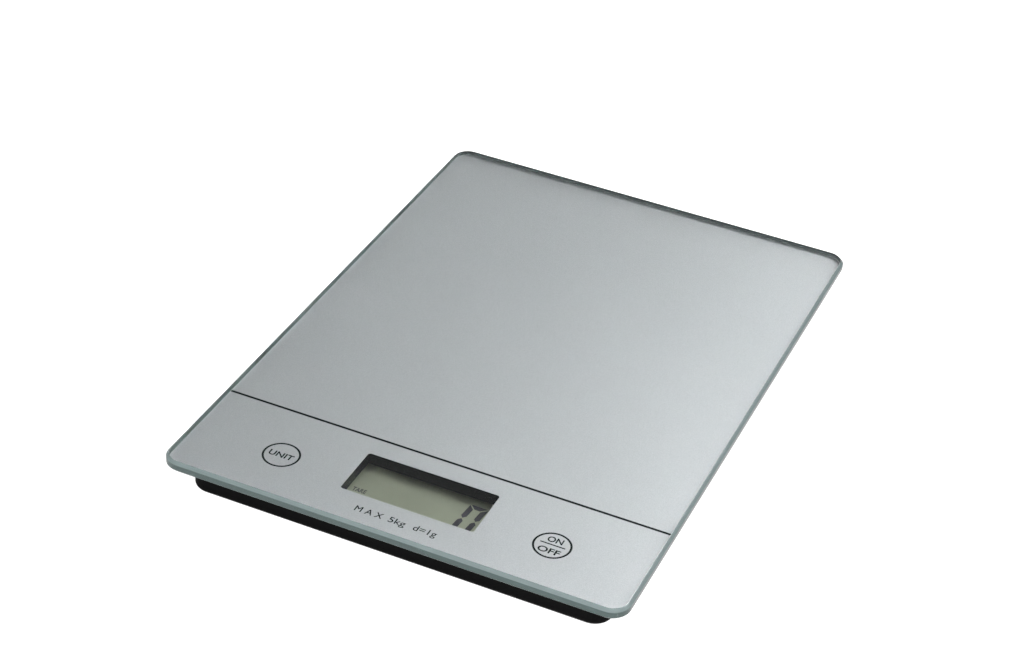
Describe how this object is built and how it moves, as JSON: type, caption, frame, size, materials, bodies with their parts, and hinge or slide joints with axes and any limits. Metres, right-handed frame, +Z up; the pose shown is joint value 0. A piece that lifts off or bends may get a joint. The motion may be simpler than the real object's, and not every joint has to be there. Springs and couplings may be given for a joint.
{
  "type": "kitchen scale",
  "caption": "Slim digital kitchen scale: a silver-backed glass platform with a recessed display and touch keys, over an inset black case.",
  "frame": {"origin": "on the table, under the middle of the glass", "axes": "+X to the user's right, +Y away from the user and along the long side, +Z up"},
  "size_m": [0.16, 0.23, 0.015],
  "materials": {
    "tempered_glass": "clear, polished, faintly green at the edges",
    "silver_print": "fine silver metallic screen print",
    "black_print": "black screen print",
    "black_abs": "fine spark-eroded texture",
    "inner_abs": "matt, plain moulded",
    "foot_rubber": "matt",
    "zinc_steel": "zinc plated sheet",
    "screw_steel": "zinc plated",
    "load_cell_aluminium": "milled",
    "gauge_film": "amber film",
    "white_sealant": "semi-gloss silicone",
    "coin_steel": "bright nickel plated",
    "contact_nickel": "nickel plated spring steel",
    "wire_red": "semi-gloss insulation",
    "wire_black": "semi-gloss insulation",
    "wire_white": "semi-gloss insulation",
    "wire_green": "semi-gloss insulation",
    "foam_tape": "matt adhesive tape",
    "lcd_film": "grey-green polariser, satin",
    "lcd_glass": "clear",
    "lcd_reflector": "satin reflector film",
    "flex_film": "amber polyimide film",
    "board_laminate": "green solder mask",
    "chip_epoxy": "black epoxy",
    "chip_ceramic": "ceramic chips"
  },
  "bodies": {
    "base": {"bottom_housing": "black_abs", "foot_front_left": "foot_rubber", "foot_front_right": "foot_rubber", "foot_rear_left": "foot_rubber", "foot_rear_right": "foot_rubber", "base_plate": "zinc_steel", "load_cell_lower_spacer": "zinc_steel", "load_cell_lower_screws": "screw_steel", "load_cell": "load_cell_aluminium", "strain_gauges": "gauge_film", "gauge_sealant": "white_sealant", "coin_cell": "coin_steel", "battery_contact_negative": "contact_nickel", "battery_contact_positive": "contact_nickel", "battery_wire_positive": "wire_red", "battery_wire_negative": "wire_black", "load_cell_wire_red": "wire_red", "load_cell_wire_black": "wire_black", "load_cell_wire_white": "wire_white", "load_cell_wire_green": "wire_green"},
    "battery_cover": {"battery_door": "black_abs"},
    "platform": {"glass_platform": "tempered_glass", "silver_back_print": "silver_print", "divider_line": "black_print", "key_ring_unit": "black_print", "key_ring_power": "black_print", "frame_tape": "foam_tape", "top_plate_tape": "foam_tape", "upper_frame": "inner_abs", "top_plate": "zinc_steel", "load_cell_upper_spacer": "zinc_steel", "load_cell_upper_screws": "screw_steel", "lcd_front_polariser": "lcd_film", "lcd_front_glass": "lcd_glass", "lcd_rear_glass": "lcd_glass", "lcd_reflector": "lcd_reflector", "lcd_foam_strip": "foam_tape", "lcd_holder": "inner_abs", "display_flex": "flex_film", "lcd_back_cover": "inner_abs", "circuit_board": "board_laminate", "controller_blob": "chip_epoxy", "chip_components": "chip_ceramic", "touch_spring_unit": "contact_nickel", "touch_spring_power": "contact_nickel", "circuit_board_screws": "screw_steel", "lcd_holder_screws": "screw_steel"}
  },
  "joints": [
    {"name": "platform_press", "type": "slide", "parent": "base", "child": "platform", "axis": [0, 0, -1], "range_m": [0, 0.0004], "stiffness_N_per_m": 163500, "springref_m": -0.00004, "deforming": ["load_cell", "strain_gauges", "gauge_sealant", "battery_wire_positive", "battery_wire_negative", "load_cell_wire_red", "load_cell_wire_black", "load_cell_wire_white", "load_cell_wire_green"]},
    {"name": "battery_door_hinge", "type": "hinge", "parent": "base", "child": "battery_cover", "pos_m": [0, -0.0295, 0.0018], "axis": [1, 0, 0], "range_deg": [0, 60]}
  ]
}
